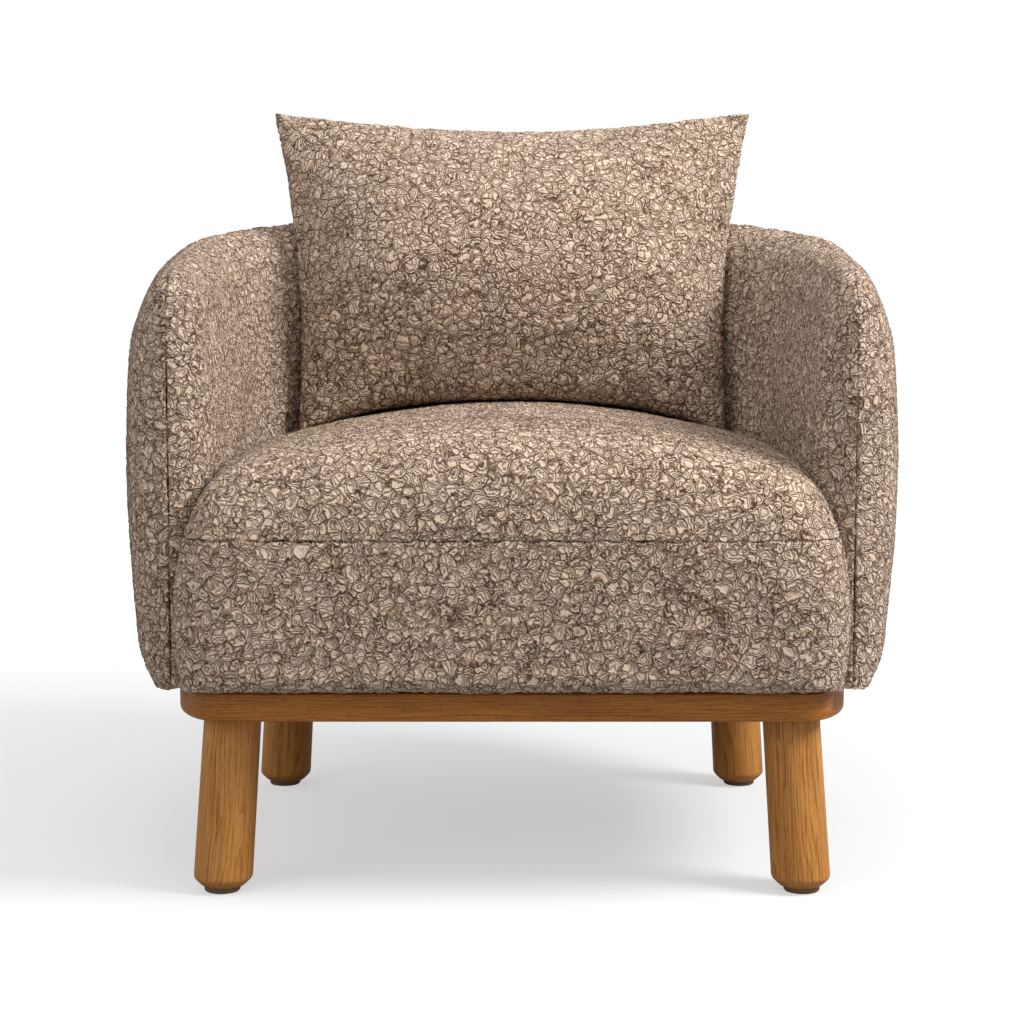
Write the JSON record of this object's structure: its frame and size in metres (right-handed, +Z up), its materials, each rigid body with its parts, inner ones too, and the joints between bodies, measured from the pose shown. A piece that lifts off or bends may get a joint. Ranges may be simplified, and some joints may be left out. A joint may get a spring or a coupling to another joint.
{
  "type": "tub chair",
  "caption": "Upholstered tub chair: a wraparound boucle shell with a domed sprung seat and a loose knife-edge back cushion, on an oak plinth with splayed round legs.",
  "frame": {"origin": "middle of the chair's plan box, on the floor", "axes": "+Z up, -Y out of the open front, +X to the right as seen from the front"},
  "size_m": [0.817, 0.7401, 0.7931],
  "materials": {
    "boucle": "looped wool-like boucle, taupe beige",
    "oak": "oiled oak, honey brown",
    "frame_timber": "sawn hardwood",
    "panel_board": "thin fibre board",
    "foam": "upholstery foam",
    "webbing": "elastic webbing",
    "lining": "thin black lining cloth",
    "filling": "fibre filling",
    "steel": "zinc plated",
    "glide": "dark plastic",
    "tape": "woven zip tape"
  },
  "bodies": {
    "chair": {"arm_inner_foam_left": "foam", "arm_inner_foam_right": "foam", "arm_outer_foam_left": "foam", "arm_outer_foam_right": "foam", "arm_panel_left": "panel_board", "arm_panel_right": "panel_board", "arm_rail_left": "frame_timber", "arm_rail_right": "frame_timber", "arm_top_foam_left": "foam", "arm_top_foam_right": "foam", "back_inner_foam": "foam", "back_outer_foam": "foam", "back_rail": "frame_timber", "back_top_foam": "foam", "back_top_rail": "frame_timber", "back_webbing": "webbing", "corner_blocks": "frame_timber", "dust_cover": "lining", "foot_glides": "glide", "front_post_left": "frame_timber", "front_post_right": "frame_timber", "front_rail": "frame_timber", "leg_back_left": "oak", "leg_back_right": "oak", "leg_bolts": "steel", "leg_front_left": "oak", "leg_front_right": "oak", "leg_inserts": "steel", "plinth": "oak", "plinth_screws": "steel", "rear_post_left": "frame_timber", "rear_post_right": "frame_timber", "seat_cover_front": "boucle", "seat_cover_top": "boucle", "seat_foam": "foam", "seat_front_foam": "foam", "seat_webbing_crosswise": "webbing", "seat_webbing_lengthwise": "webbing", "side_post_left": "frame_timber", "side_post_right": "frame_timber", "side_rail_left": "frame_timber", "side_rail_right": "frame_timber", "tub_cover_inner": "boucle", "tub_cover_outer": "boucle"},
    "cushion": {"cushion_cover": "boucle", "cushion_insert": "filling", "zip_tape": "tape"},
    "zip": {"zip_slider": "steel"}
  },
  "joints": [
    {"name": "cushion_lift", "type": "slide", "parent": "chair", "child": "cushion", "axis": [0, 0, 1], "range_m": [0, 0.3]},
    {"name": "zip_run", "type": "slide", "parent": "cushion", "child": "zip", "axis": [1, 0, 0], "range_m": [0, 0.21]}
  ]
}
